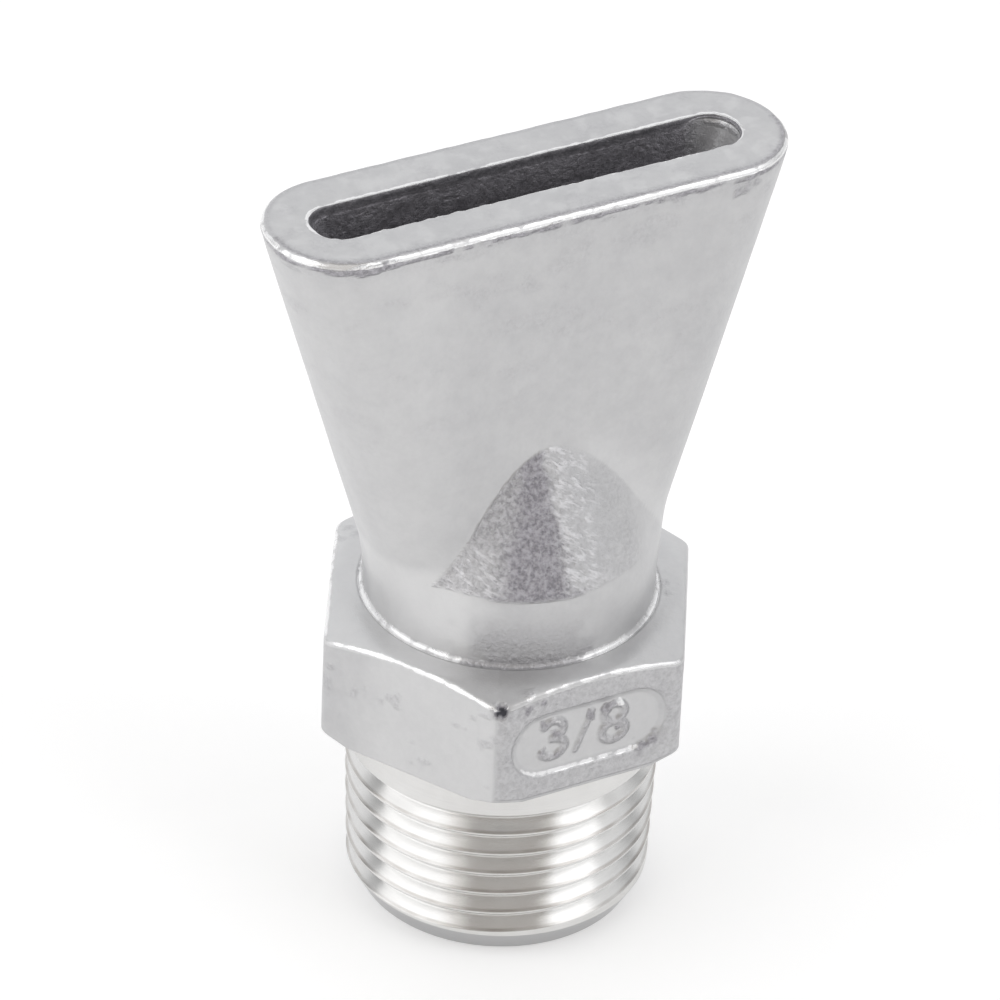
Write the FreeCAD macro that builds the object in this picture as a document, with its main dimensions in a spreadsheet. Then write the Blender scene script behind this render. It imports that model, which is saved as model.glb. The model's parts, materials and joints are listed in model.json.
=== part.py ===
import FreeCAD, Part
import math
import os

import Sketcher

# Flat air nozzle: one stainless-steel casting with a taper thread blank, a hexagon, a
# round collar and a fan that spreads the air into a thin slot. Millimetres and degrees.
# The origin is the middle of the inlet's end face, +Z runs to the mouth, +X along the slot.

NODE = "nozzle_body"

# Driving sizes: name, value, what it measures
SIZES = [
    ("thread_gauge_diameter", 16.66, "crest diameter at the gauge plane, R 3/8"),
    ("thread_gauge_length", 6.4, "end face to gauge plane"),
    ("thread_taper", 16, "length over which the diameter grows by one"),
    ("thread_length", 8.7, "end face to the last thread"),
    ("lead_in_depth", 0.68, "step in from the crests at the end face"),
    ("lead_in_length", 1.3, "height of the lead-in chamfer at the end face"),
    ("neck_length", 3.1, "plain neck between thread and hexagon"),
    ("hex_across_flats", 18.9, "as cast, for a 19 mm spanner"),
    ("hex_height", 6.95, "underside to top face of the hexagon"),
    ("hex_corner_radius", 0.9, "rounding of the six upright edges"),
    ("hex_top_land", 0.25, "flat to the top chamfer's circle"),
    ("hex_top_angle", 23, "slope of the top chamfer below the top face"),
    ("hex_foot_reach", 0.75, "underside chamfer's circle outside the flats"),
    ("hex_foot_angle", 30, "slope of the underside chamfer"),
    ("collar_diameter", 15.5, "round collar above the hexagon"),
    ("collar_height", 4.35, "hexagon top to the collar's shoulder"),
    ("collar_foot_share", 0.18, "share of the hexagon's round land taken by the collar's fillet"),
    ("swell_angle", 25, "slope of the cone-shaped swell from the axis"),
    ("fan_length", 25.25, "hexagon top to the mouth"),
    ("fan_edge_inset", 0.7, "the fan's narrow root inside the collar, each side"),
    ("fan_root_thickness", 9.2, "across the flat faces at the hexagon top"),
    ("fan_side_wall", 2.74, "metal between the slot and a flat face"),
    ("fan_end_wall", 2.57, "metal between the slot's end and the fan's edge"),
    ("slot_length", 24.25, "long side of the mouth's slot"),
    ("slot_width", 3.02, "short side of the mouth's slot"),
    ("end_flat", 0.08, "half the flat left between the two roundings of a narrow end"),
    ("mouth_edge_radius", 0.35, "rounding of the mouth's outer edge"),
    ("slot_edge_radius", 0.2, "rounding of the slot's edge"),
    ("bore_diameter", 12.0, "round inlet"),
    ("inlet_chamfer", 0.4, "chamfer of the inlet's edge"),
    ("panel_length", 9.2, "recessed size panel on one flat, end to end"),
    ("panel_width", 4.1, "height of the panel"),
    ("panel_depth", 0.25, "depth of the panel"),
    ("panel_drop", 0.2, "panel's middle below the middle of the hexagon"),
]

# Levels, radii and widths worked out from the driving sizes
HEX_BOTTOM = "(Sizes.thread_length + Sizes.neck_length)"
HEX_MIDDLE = f"({HEX_BOTTOM} + Sizes.hex_height / 2)"
HEX_TOP = f"({HEX_BOTTOM} + Sizes.hex_height)"
SHOULDER = f"({HEX_TOP} + Sizes.collar_height)"
MOUTH = f"({HEX_TOP} + Sizes.fan_length)"
HEX_CORNER = "(Sizes.hex_across_flats / sqrt(3))"
TOP_LAND = "(Sizes.hex_across_flats / 2 - Sizes.hex_top_land)"
COLLAR_RADIUS = "(Sizes.collar_diameter / 2)"
COLLAR_FOOT_RADIUS = f"(({TOP_LAND} - {COLLAR_RADIUS}) * Sizes.collar_foot_share)"
BORE_RADIUS = "(Sizes.bore_diameter / 2)"
FAN_ROOT_WIDTH = "(Sizes.collar_diameter - 2 * Sizes.fan_edge_inset)"
MOUTH_WIDTH = "(Sizes.slot_length + 2 * Sizes.fan_end_wall)"
MOUTH_THICKNESS = "(Sizes.slot_width + 2 * Sizes.fan_side_wall)"


def crest_radius(level):
    """Radius over the thread's crests at a level above the end face."""
    return (
        f"((Sizes.thread_gauge_diameter + ({level} - Sizes.thread_gauge_length)"
        " / Sizes.thread_taper) / 2)"
    )


def fill_sheet(doc):
    """The spreadsheet of driving sizes, one named cell each."""
    sheet = doc.addObject("Spreadsheet::Sheet", "Sizes")
    for row, (name, value, meaning) in enumerate(SIZES, start=1):
        sheet.set(f"A{row}", name)
        sheet.set(f"B{row}", str(value))
        sheet.set(f"C{row}", meaning)
        sheet.setAlias(f"B{row}", name)
    doc.recompute()
    return sheet


def new_sketch(body, name, plane, offset=None):
    """A sketch on one of the body's own planes, moved along the plane's normal."""
    sketch = body.newObject("Sketcher::SketchObject", name)
    planes = {feature.Role: feature for feature in body.Origin.OriginFeatures}
    sketch.AttachmentSupport = [(planes[plane], "")]
    sketch.MapMode = "FlatFace"
    if offset is not None:
        sketch.setExpression("AttachmentOffset.Base.z", offset)
    return sketch


def bind(sketch, constraint, name, size):
    """Adds a constraint and ties its value to an expression on the sheet."""
    index = sketch.addConstraint(constraint)
    sketch.renameConstraint(index, name)
    sketch.setExpression(f".Constraints.{name}", size)


def draw_profile(sketch, corners):
    """A closed outline for turning about the upright axis, from (radius, level) pairs.

    None stands for a corner on the axis, or on the level of the end face.
    """
    start, centre, origin_level, axis = 1, (-1, 1), -1, -2
    count = len(corners)
    rough = [FreeCAD.Vector(10 + i, 5 + i * i, 0) for i in range(count)]
    for i in range(count):
        sketch.addGeometry(Part.LineSegment(rough[i], rough[(i + 1) % count]), False)
    for i in range(count):
        sketch.addConstraint(Sketcher.Constraint("Coincident", i, 2, (i + 1) % count, start))
    for i, (radius, level) in enumerate(corners):
        if radius is None:
            sketch.addConstraint(Sketcher.Constraint("PointOnObject", i, start, axis))
        else:
            across = Sketcher.Constraint("DistanceX", *centre, i, start, rough[i].x)
            bind(sketch, across, f"radius_{i}", radius)
        if level is None:
            sketch.addConstraint(Sketcher.Constraint("PointOnObject", i, start, origin_level))
        else:
            up = Sketcher.Constraint("DistanceY", *centre, i, start, rough[i].y)
            bind(sketch, up, f"level_{i}", level)


def turn(body, kind, name, corners):
    """A revolution or groove of an outline about the nozzle's axis."""
    sketch = new_sketch(body, name + "Outline", "XZ_Plane")
    draw_profile(sketch, corners)
    feature = body.newObject(kind, name)
    feature.Profile = sketch
    feature.ReferenceAxis = (sketch, ["V_Axis"])
    feature.Angle = 360
    sketch.Visibility = False
    body.Document.recompute()
    return feature


def draw_stadium(sketch, length, width):
    """Two straight sides joined by half circles, centred on the sketch, long side across."""
    half, radius = 6.0, 2.0
    up = FreeCAD.Vector(0, 0, 1)
    ends = [FreeCAD.Vector(half, 0, 0), FreeCAD.Vector(-half, 0, 0)]
    quarter = math.pi / 2
    arcs = [
        Part.ArcOfCircle(Part.Circle(ends[0], up, radius), -quarter, quarter),
        Part.ArcOfCircle(Part.Circle(ends[1], up, radius), quarter, 3 * quarter),
    ]
    rise = FreeCAD.Vector(0, radius, 0)
    right = sketch.addGeometry(arcs[0], False)
    top = sketch.addGeometry(Part.LineSegment(ends[0] + rise, ends[1] + rise), False)
    left = sketch.addGeometry(arcs[1], False)
    bottom = sketch.addGeometry(Part.LineSegment(ends[1] - rise, ends[0] - rise), False)
    joins = [(right, 2, top, 1), (top, 2, left, 1), (left, 2, bottom, 1), (bottom, 2, right, 1)]
    for join in joins:
        sketch.addConstraint(Sketcher.Constraint("Tangent", *join))
    sketch.addConstraint(Sketcher.Constraint("Horizontal", top))
    sketch.addConstraint(Sketcher.Constraint("Equal", right, left))
    sketch.addConstraint(Sketcher.Constraint("Symmetric", right, 3, left, 3, -1, 1))
    bind(sketch, Sketcher.Constraint("Radius", right, radius), "end_radius", f"{width} / 2")
    span = Sketcher.Constraint("DistanceX", left, 3, right, 3, 2 * half)
    bind(sketch, span, "centre_span", f"{length} - {width}")


def taper(body, kind, name, root, mouth, corner_radius):
    """A flat wedge from the hexagon's top to the mouth with its four long edges rounded.

    root and mouth are its (length, width) at those two levels.
    """
    planes = {feature.Role: feature for feature in body.Origin.OriginFeatures}
    wedge = body.newObject(kind, name)
    wedge.AttachmentSupport = [(planes["XZ_Plane"], "")]
    wedge.MapMode = "FlatFace"
    ends = {"X": root[0], "Z": root[1], "X2": mouth[0], "Z2": mouth[1]}
    for side, size in ends.items():
        wedge.setExpression(side + "max", f"{size} / 2")
        wedge.setExpression(side + "min", f"-{size} / 2")
    wedge.setExpression("Ymin", HEX_TOP)
    wedge.setExpression("Ymax", MOUTH)
    body.Document.recompute()

    half_x = (wedge.Xmax.Value + wedge.X2max.Value) / 2
    half_y = (wedge.Zmax.Value + wedge.Z2max.Value) / 2
    level = (wedge.Ymin.Value + wedge.Ymax.Value) / 2

    def is_long_edge(edge):
        middle = edge.CenterOfMass
        off = (abs(middle.x) - half_x, abs(middle.y) - half_y, middle.z - level)
        return max(abs(gap) for gap in off) < 0.01

    round_edges(body, name + "Corners", is_long_edge, corner_radius)


def add_turned_blank(body):
    """Lead-in, taper thread blank, neck, collar and the cone whose flanks swell out."""
    inside_fan = "((Sizes.slot_width + Sizes.fan_side_wall) / 2)"
    cone_top = f"({SHOULDER} + ({COLLAR_RADIUS} - {inside_fan}) / tan(Sizes.swell_angle))"
    corners = [
        (None, None),
        (f"{crest_radius(0)} - Sizes.lead_in_depth", None),
        (crest_radius("Sizes.lead_in_length"), "Sizes.lead_in_length"),
        (crest_radius("Sizes.thread_length"), "Sizes.thread_length"),
        (crest_radius("Sizes.thread_length"), HEX_MIDDLE),
        (COLLAR_RADIUS, HEX_MIDDLE),
        (COLLAR_RADIUS, SHOULDER),
        (inside_fan, cone_top),
        (None, cone_top),
    ]
    return turn(body, "PartDesign::Revolution", "TurnedBlank", corners)


def add_hexagon(body):
    """The spanner hexagon with rounded corners, a flat on the +Y and on the -Y side."""
    sketch = new_sketch(body, "HexagonOutline", "XY_Plane", HEX_BOTTOM)
    count = 6
    reach, radius = 10.0, 1.0
    step = 2 * math.pi / count
    up = FreeCAD.Vector(0, 0, 1)

    def ray(turns):
        return FreeCAD.Vector(math.cos(turns * step), math.sin(turns * step), 0)

    for i in range(count):
        corner = Part.Circle(ray(i) * reach, up, radius)
        arc = Part.ArcOfCircle(corner, (i - 0.5) * step, (i + 0.5) * step)
        sketch.addGeometry(arc, False)
    for i in range(count):
        out = ray(i + 0.5) * radius
        flat = Part.LineSegment(ray(i) * reach + out, ray(i + 1) * reach + out)
        sketch.addGeometry(flat, False)
    circle = sketch.addGeometry(Part.Circle(FreeCAD.Vector(), up, reach), True)
    sketch.addConstraint(Sketcher.Constraint("Coincident", circle, 3, -1, 1))
    for i in range(count):
        sketch.addConstraint(Sketcher.Constraint("Tangent", i, 2, count + i, 1))
        sketch.addConstraint(Sketcher.Constraint("Tangent", count + i, 2, (i + 1) % count, 1))
        sketch.addConstraint(Sketcher.Constraint("PointOnObject", i, 3, circle))
    for i in range(1, count):
        sketch.addConstraint(Sketcher.Constraint("Equal", 0, i))
        sketch.addConstraint(Sketcher.Constraint("Equal", count, count + i))
    sketch.addConstraint(Sketcher.Constraint("PointOnObject", 0, 3, -1))
    bind(sketch, Sketcher.Constraint("Radius", 0, radius), "rounding", "Sizes.hex_corner_radius")
    centre_reach = "(Sizes.hex_across_flats - 2 * Sizes.hex_corner_radius) / sqrt(3)"
    bind(sketch, Sketcher.Constraint("Radius", circle, reach), "centre_reach", centre_reach)

    hexagon = body.newObject("PartDesign::Pad", "Hexagon")
    hexagon.Profile = sketch
    hexagon.setExpression("Length", "Sizes.hex_height")
    sketch.Visibility = False
    body.Document.recompute()


def chamfer_hexagon(body):
    """Cones that take the corners off the hexagon's top and underside."""
    foot_land = "(Sizes.hex_across_flats / 2 + Sizes.hex_foot_reach)"
    clear = f"({HEX_CORNER} + 1)"
    top_fall = f"({clear} - {TOP_LAND}) * tan(Sizes.hex_top_angle)"
    foot_rise = f"({clear} - {foot_land}) * tan(Sizes.hex_foot_angle)"
    top = [(TOP_LAND, HEX_TOP), (clear, HEX_TOP), (clear, f"{HEX_TOP} - {top_fall}")]
    foot = [(foot_land, HEX_BOTTOM), (clear, f"{HEX_BOTTOM} + {foot_rise}"), (clear, HEX_BOTTOM)]
    turn(body, "PartDesign::Groove", "HexagonTopChamfer", top)
    turn(body, "PartDesign::Groove", "HexagonFootChamfer", foot)


def add_fan(body):
    """The flat fan: it widens to the mouth and thins a little, its narrow ends rounded."""
    root = (FAN_ROOT_WIDTH, "Sizes.fan_root_thickness")
    mouth = (MOUTH_WIDTH, MOUTH_THICKNESS)
    radius = f"{MOUTH_THICKNESS} / 2 - Sizes.end_flat"
    taper(body, "PartDesign::AdditiveWedge", "Fan", root, mouth, radius)


def cut_passage(body):
    """The round bore with its cone, running into the fan-shaped slot, one wall all round."""
    root_length = f"({FAN_ROOT_WIDTH} - 2 * Sizes.fan_end_wall)"
    root_width = "(Sizes.fan_root_thickness - 2 * Sizes.fan_side_wall)"
    root = (root_length, root_width)
    mouth = ("Sizes.slot_length", "Sizes.slot_width")
    radius = "Sizes.slot_width / 2 - Sizes.end_flat"
    taper(body, "PartDesign::SubtractiveWedge", "Slot", root, mouth, radius)

    collar_wall = f"({COLLAR_RADIUS} - {BORE_RADIUS})"
    bore_top = f"({SHOULDER} - {collar_wall} * tan(Sizes.swell_angle / 2))"
    corners = [
        (None, None),
        (f"{BORE_RADIUS} + Sizes.inlet_chamfer", None),
        (BORE_RADIUS, "Sizes.inlet_chamfer"),
        (BORE_RADIUS, bore_top),
        (None, f"{bore_top} + {BORE_RADIUS} / tan(Sizes.swell_angle)"),
    ]
    turn(body, "PartDesign::Groove", "Bore", corners)


def cut_panel(body):
    """The shallow panel with round ends that holds the size on one flat."""
    flat = "Sizes.hex_across_flats / 2"
    sketch = new_sketch(body, "PanelOutline", "XZ_Plane", flat)
    sketch.setExpression("AttachmentOffset.Base.y", f"{HEX_MIDDLE} - Sizes.panel_drop")
    draw_stadium(sketch, "Sizes.panel_length", "Sizes.panel_width")
    panel = body.newObject("PartDesign::Pocket", "Panel")
    panel.Profile = sketch
    panel.setExpression("Length", "Sizes.panel_depth")
    sketch.Visibility = False
    body.Document.recompute()
    return panel


def round_edges(body, name, wanted, radius):
    """A fillet on each edge of the solid so far that wanted() accepts."""
    base = body.Tip
    edges = [f"Edge{i}" for i, edge in enumerate(base.Shape.Edges, start=1) if wanted(edge)]
    fillet = body.newObject("PartDesign::Fillet", name)
    fillet.Base = (base, edges)
    fillet.setExpression("Radius", radius)
    body.Document.recompute()
    return fillet


def round_off(body, sheet):
    """Fillets at the collar's foot, the mouth's outer edge and the slot's edge."""
    fan = body.Document.getObject("Fan")
    hex_top, mouth = fan.Ymin.Value, fan.Ymax.Value
    collar_radius = sheet.collar_diameter / 2
    slot_reach = (sheet.slot_length + sheet.fan_end_wall) / 2
    slot_half_width = (sheet.slot_width + sheet.fan_side_wall) / 2

    def is_level(edge, level):
        box = edge.BoundBox
        return abs(box.ZMin - level) < 0.001 and abs(box.ZMax - level) < 0.001

    def is_collar_foot(edge):
        box = edge.BoundBox
        return is_level(edge, hex_top) and abs(box.XMax - collar_radius) < 0.01

    def is_slot_edge(edge):
        box = edge.BoundBox
        within = max(-box.XMin, box.XMax) < slot_reach and max(-box.YMin, box.YMax) < slot_half_width
        return is_level(edge, mouth) and within

    def is_mouth_edge(edge):
        return is_level(edge, mouth) and not is_slot_edge(edge)

    round_edges(body, "CollarFoot", is_collar_foot, COLLAR_FOOT_RADIUS)
    round_edges(body, "MouthEdge", is_mouth_edge, "Sizes.mouth_edge_radius")
    round_edges(body, "SlotEdge", is_slot_edge, "Sizes.slot_edge_radius")


def check(doc, body):
    """Stops if a feature failed, cut nothing, or left the casting in bits."""
    for item in doc.Objects:
        if "Invalid" in item.State or "Error" in item.State:
            raise RuntimeError(f"{item.Name} failed: {item.State}")
    cutters = ("PartDesign::Groove", "PartDesign::SubtractiveWedge", "PartDesign::Pocket")
    for item in body.Group:
        if item.TypeId in cutters and item.Shape.Volume >= item.BaseFeature.Shape.Volume:
            raise RuntimeError(f"{item.Name} removes nothing")
    shape = body.Shape
    if shape.isNull() or not shape.isValid() or len(shape.Solids) != 1:
        raise RuntimeError(f"{body.Label} isn't one valid solid")


def build():
    """Makes the nozzle and writes it out."""
    doc = FreeCAD.newDocument("flat_air_nozzle")
    sheet = fill_sheet(doc)
    body = doc.addObject("PartDesign::Body", "NozzleBody")
    body.Label = NODE
    body.Placement = FreeCAD.Placement()
    add_fan(body)
    add_turned_blank(body)
    add_hexagon(body)
    chamfer_hexagon(body)
    cut_passage(body)
    cut_panel(body)
    round_off(body, sheet)
    doc.recompute()
    check(doc, body)
    os.makedirs("parts", exist_ok=True)
    body.Shape.exportStep(f"parts/{body.Label}.step")
    box = body.Shape.BoundBox
    print(f"{body.Label}: {box.XLength:.2f} x {box.YLength:.2f} x {box.ZLength:.2f} mm,"
          f" {body.Shape.Volume:.1f} mm3, {len(body.Shape.Faces)} faces")


build()
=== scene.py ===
import itertools
import json
import math

import bpy
import numpy as np
from mathutils import Matrix, Vector

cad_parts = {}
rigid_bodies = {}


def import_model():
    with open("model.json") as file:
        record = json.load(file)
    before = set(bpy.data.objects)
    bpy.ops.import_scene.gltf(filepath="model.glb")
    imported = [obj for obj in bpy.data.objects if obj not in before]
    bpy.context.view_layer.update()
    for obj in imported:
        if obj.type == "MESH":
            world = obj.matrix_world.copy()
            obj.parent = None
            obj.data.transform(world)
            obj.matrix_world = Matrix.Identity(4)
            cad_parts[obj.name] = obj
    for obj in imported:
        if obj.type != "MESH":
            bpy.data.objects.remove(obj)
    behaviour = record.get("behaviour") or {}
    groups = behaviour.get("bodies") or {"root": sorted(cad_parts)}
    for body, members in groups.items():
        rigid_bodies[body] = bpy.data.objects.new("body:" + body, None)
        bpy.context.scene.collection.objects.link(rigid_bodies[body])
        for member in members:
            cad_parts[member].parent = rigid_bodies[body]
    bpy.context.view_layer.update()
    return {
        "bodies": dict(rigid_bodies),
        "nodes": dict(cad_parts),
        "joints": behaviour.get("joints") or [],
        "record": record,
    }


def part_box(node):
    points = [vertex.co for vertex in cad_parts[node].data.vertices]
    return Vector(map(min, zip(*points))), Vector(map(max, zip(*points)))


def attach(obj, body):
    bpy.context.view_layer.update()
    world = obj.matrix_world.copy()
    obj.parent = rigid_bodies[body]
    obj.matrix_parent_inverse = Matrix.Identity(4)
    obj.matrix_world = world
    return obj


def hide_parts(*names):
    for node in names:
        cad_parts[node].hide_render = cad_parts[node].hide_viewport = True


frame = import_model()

# Flat air nozzle in cast stainless steel. Lengths are in millimetres and become metres
# where a mesh is made. +Z runs from the inlet's end face to the mouth, +X along the slot.
MM = 0.001
CAD_NODE = "nozzle_body"
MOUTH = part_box(CAD_NODE)[1].z / MM

# Levels, and how far the scene's pieces run into each other out of sight
HEX_BOTTOM = 11.8
HEX_TOP = 18.75
SHOULDER = 23.1
BORE_TOP = 22.71
FAN_OVERLAP = 0.65
THREAD_OVERLAP = 0.5

# Fan and slot: length and width of each outline at the root and the mouth, and its corners
FAN_ROOT = (14.1, 9.2)
FAN_MOUTH = (29.39, 8.5)
FAN_CORNER = 4.17
FAN_REACH = 14.56
PASSAGE_ROOT = (8.96, 3.72)
PASSAGE_MOUTH = (24.25, 3.02)
PASSAGE_CORNER = 1.43
RIM_RADIUS = 0.35
SLOT_EDGE = 0.14
RIM_ROWS, MOUTH_ROWS, SLOT_EDGE_ROWS = 7, 11, 5

# Collar, swell and bore
COLLAR_RADIUS = 7.75
COLLAR_FOOT = 0.25
SWELL_SLOPE = math.tan(math.radians(25))
SWELL_RISE = 7.3
SWELL_BULGE = 0.05
SWELL_SHIFT = 0.4
SWELL_TOP = 31.0
SWELL_MARKS_RISE = 6.9
BORE_RADIUS = 6.0
INLET_CHAMFER = 0.4

# Hexagon
HEX_APOTHEM = 9.45
HEX_CORNER_RADIUS = 0.9
TOP_LAND = 9.2
TOP_SLOPE = math.tan(math.radians(23))
FOOT_LAND = 10.2
FOOT_SLOPE = math.tan(math.radians(30))
PANEL = (9.2, 4.1)
PANEL_LEVEL = 15.075
PANEL_DEPTH = 0.25

# The raised size on the panel: where its figures stand, their height, strokes and relief
THREE_AT, SLASH_AT, EIGHT_AT = -2.08, -0.27, 1.52
DIGIT_LEVEL = 15.25
DIGIT_HEIGHT = 2.4
DIGIT_STROKE = 0.18
DIGIT_RELIEF = 0.15
SLASH_THINNER = 0.08

# Taper thread of 19 turns to the inch, cut shallow, with rounded crests and roots
GAUGE_RADIUS, GAUGE_LEVEL, TAPER = 8.33, 6.4, 32.0
THREAD_END = 8.7
PITCH = 25.4 / 19
FLANK = math.radians(50)
THREAD_ROUND = 0.1
BEND = THREAD_ROUND * math.sin(FLANK)
BEND_DEPTH = THREAD_ROUND * (1 - math.cos(FLANK))
THREAD_DEPTH = 2 * BEND_DEPTH + (PITCH / 2 - 2 * BEND) * math.tan(FLANK)
FIRST_CREST = 1.54
FIRST_TURN = -0.5
LAST_FULL_TURN = 5.05
RUN_OUT_SLOPE = 0.95
RUN_OUT_TOP = 10.2
LEAD_IN_LENGTH = 1.3
LEAD_IN_DEPTH = 0.68
THREAD_COLUMNS = 320
THREAD_ROW = 0.04

# Stains; stains mixed with painted shade beside the raised figures; painted glints; and the knock on the
# hexagon's corner, coloured black as painted shade: x, y, z and reach of each
FAN_STAINS = [(10.4, -4.2, 43.0, 0.4), (9.9, -4.2, 42.8, 0.35), (11.0, -4.1, 43.1, 0.3)]
PANEL_STAINS_AND_SHADE = [(-2.6, -9.4, 16.35, 0.45), (-1.95, -9.4, 15.6, 0.35), (-2.75, -9.4, 14.6, 0.35),
                (-1.9, -9.4, 14.2, 0.35), (1.15, -9.4, 16.35, 0.5), (1.7, -9.4, 14.9, 0.35),
                (0.15, -9.4, 16.1, 0.45), (3.15, -9.4, 13.15, 0.6), (3.75, -9.4, 13.55, 0.55),
                (-3.7, -9.4, 17.75, 0.45), (-2.9, -9.4, 17.9, 0.4)]
PANEL_GLINTS = [(-1.85, -9.4, 16.4, 0.4), (1.85, -9.4, 16.4, 0.4)]
NICK = (-5.2, -9.35, 17.95, 0.55)
NICK_DEPTH = 0.18

# Below the mouth, how far down its painted shadow line lies; by degrees round the axis, where the collar's
# foot is darker and where the left flat is painted lighter; and how raw the passage is
RIM_SHADOW_LINE_DROP = 0.47
FOOT_DARKENING_AT = -110
LEFT_FLAT_AT = -150
PASSAGE_SKIN = 0.78

# Masks of the casting: skin as cast; darkening, partly stains and partly painted shade; bright streaks,
# partly a painted highlight; bright edges, partly rubbed and partly painted highlights; polish and painted
# light
MASKS = ("rough", "dark", "streaks", "bright_edge", "polished")

# Colours of the casting, and of the neck and thread. The polish colour is also painted light; the stained
# and sooty colours are partly painted shade and the near-black wholly; the rubbed edge is also a painted
# highlight; the chamfer colour is painted shade; the thread's dirt line is partly painted shade
CLEAN_STEEL = ((0.505, 0.505, 0.515, 1), (0.605, 0.605, 0.61, 1))
POLISHED_AND_PAINTED_LIGHT = (0.80, 0.80, 0.80, 1)
STAINED_AND_SHADED_STEEL = (0.36, 0.36, 0.37, 1)
CAST_SKIN = ((0.36, 0.355, 0.37, 1), (0.58, 0.575, 0.595, 1))
DARK_SKIN_AND_SHADE = ((0.235, 0.225, 0.25, 1), (0.44, 0.425, 0.465, 1))
PAINTED_DEEP_SHADE = (0.05, 0.05, 0.06, 1)
STREAK = (0.82, 0.815, 0.84, 1)
RUBBED_EDGE_AND_HIGHLIGHT = (0.88, 0.88, 0.885, 1)
TURNED_STEEL = ((0.72, 0.715, 0.705, 1), (0.78, 0.775, 0.765, 1))
TURNED_STAIN = (0.5, 0.49, 0.475, 1)
LEAD_IN_SHADE = (0.50, 0.50, 0.505, 1)
THREAD_GRIME_AND_SHADE = (0.33, 0.30, 0.27, 1)

# Studio: light in the gap and from the floor, and the room's light by degrees from the front
GAP_LIGHT = 0.5
FLOOR_GLOW = 0.3
SOFTBOX_AIM = (0, 0, 0.022)
ROOM_LEVELS = [(-180, 1.0), (-113, 1.0), (-109, 0.25), (-101, 0.25), (-97, 1.0),
               (106, 1.0), (110, 0.38), (117, 0.38), (121, 1.0)]

# The camera, as measured from the photograph
CAMERA_AZIMUTH = -28.973
CAMERA_ELEVATION = 34.832
CAMERA_ROLL = 2.629
CAMERA_DISTANCE = 364.087
CAMERA_TARGET = 23.99
CAMERA_OFFSET = (-0.66, -0.08)
CAMERA_LENS = 250.69
FRONT = math.radians(CAMERA_AZIMUTH - 90)


# Small maths

def lerp(a, b, t):
    return a + (b - a) * t


def smooth_step(low, high, x):
    t = np.clip((x - low) / (high - low), 0, 1)
    return t * t * (3 - 2 * t)


def smooth_max(a, b, softness):
    """The larger of two, with a fillet of about that softness where they meet."""
    h = np.clip(softness - np.abs(a - b), 0, None) / softness
    return np.maximum(a, b) + h * h * softness / 4


def smooth_min(a, b, softness):
    return -smooth_max(-a, -b, softness)


def lattice_value(cell, seed):
    """A steady pseudo-random number from -1 to 1 for each whole-number cell."""
    h = cell[..., 0] * 374761393 + cell[..., 1] * 668265263 + cell[..., 2] * 1442695041
    h = h + seed * 974634377
    h = (h ^ (h >> 13)) * 1274126177
    h = h ^ (h >> 16)
    return (h & 0xFFFF) / 32767.5 - 1.0


def noise(points, size, seed=0):
    """Smooth noise from -1 to 1 whose lumps are about size across."""
    scaled = points / size
    cell = np.floor(scaled).astype(np.int64)
    part = scaled - cell
    part = part * part * (3 - 2 * part)
    total = np.zeros(points.shape[:-1])
    for corner in itertools.product((0, 1), repeat=3):
        step = np.array(corner)
        weight = np.prod(np.where(step, part, 1 - part), axis=-1)
        total += weight * lattice_value(cell + step, seed)
    return total


def stained(points, places):
    """1 at each place, falling to 0 at about its reach, with a torn outline."""
    torn = 0.5 * noise(points, 0.25, seed=16)
    most = np.zeros(points.shape[:-1])
    for x, y, z, reach in places:
        gap = np.linalg.norm(points - np.array((x, y, z)), axis=-1) + torn * reach
        most = np.maximum(most, smooth_step(reach, 0.3 * reach, gap))
    return most


# Ring-shaped meshes

def level_row(x, y, z):
    return np.stack([x, y, np.broadcast_to(z, x.shape)], axis=-1)


def grid_normals(points):
    """Outward normals of a grid that closes on itself both ways."""
    along = np.roll(points, -1, axis=1) - np.roll(points, 1, axis=1)
    up = np.roll(points, -1, axis=0) - np.roll(points, 1, axis=0)
    normal = np.cross(along, up)
    length = np.linalg.norm(normal, axis=-1, keepdims=True)
    return normal / np.maximum(length, 1e-9)


def ring_object(name, points, masks):
    """A closed ring-shaped mesh from rows of points, each row running once round the axis."""
    rows, columns = points.shape[:2]
    row = np.arange(rows)[:, None]
    column = np.arange(columns)[None, :]
    next_row, next_column = (row + 1) % rows, (column + 1) % columns
    corners = [row * columns + column, row * columns + next_column,
               next_row * columns + next_column, next_row * columns + column]
    faces = np.stack(corners, axis=-1).reshape(-1, 4)
    mesh = bpy.data.meshes.new(name)
    mesh.from_pydata((points * MM).reshape(-1, 3).tolist(), [], faces.tolist())
    for mask, values in masks.items():
        layer = mesh.attributes.new(mask, "FLOAT", "POINT")
        layer.data.foreach_set("value", values.astype(np.float32).ravel())
    mesh.shade_smooth()
    piece = bpy.data.objects.new(name, mesh)
    bpy.context.scene.collection.objects.link(piece)
    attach(piece, "root")
    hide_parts(CAD_NODE)
    return piece


def cast_waviness(points):
    """How far the casting's skin lies under its nominal form: brought down by hand polish, never proud."""
    broad = 1 + noise(points, 5.0, seed=1)
    narrow = 1 + noise(points, 1.3, seed=2)
    return 0.012 * broad + 0.006 * narrow


# Fan, collar and passage

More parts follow.
